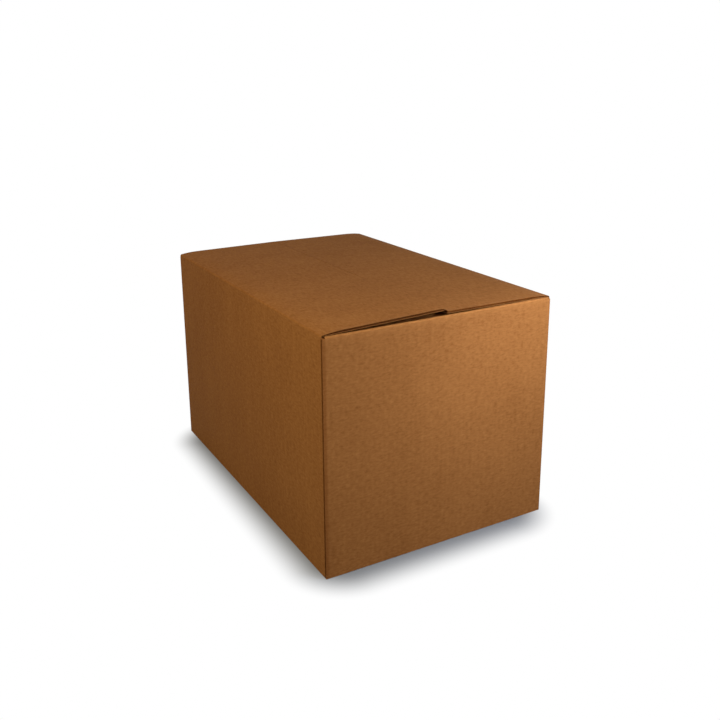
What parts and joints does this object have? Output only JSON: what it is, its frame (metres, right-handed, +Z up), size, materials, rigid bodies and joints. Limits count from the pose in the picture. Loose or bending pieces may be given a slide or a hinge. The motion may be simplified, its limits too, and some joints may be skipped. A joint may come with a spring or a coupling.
{
  "type": "shipping box",
  "caption": "Closed regular slotted carton of corrugated board, with a glued corner joint and outer top flaps that hinge open.",
  "frame": {"origin": "middle of the base, on the surface that the box stands on", "axes": "+Z up; X across the 400 mm width, +Y along the 600 mm length, away from the short end with the glued corner joint"},
  "size_m": [0.4, 0.6, 0.3791],
  "materials": {
    "kraft_board": "uncoated brown kraft liner, matte"
  },
  "bodies": {
    "carton": {"carton": "kraft_board"},
    "left_flap": {"left_top_flap": "kraft_board"},
    "right_flap": {"right_top_flap": "kraft_board"}
  },
  "joints": [
    {"name": "left_flap_crease", "type": "hinge", "parent": "carton", "child": "left_flap", "pos_m": [-0.2, 0, 0.37], "axis": [0, -1, 0], "range_deg": [0, 175]},
    {"name": "right_flap_crease", "type": "hinge", "parent": "carton", "child": "right_flap", "pos_m": [0.2, 0, 0.37], "axis": [0, 1, 0], "range_deg": [0, 175]}
  ]
}
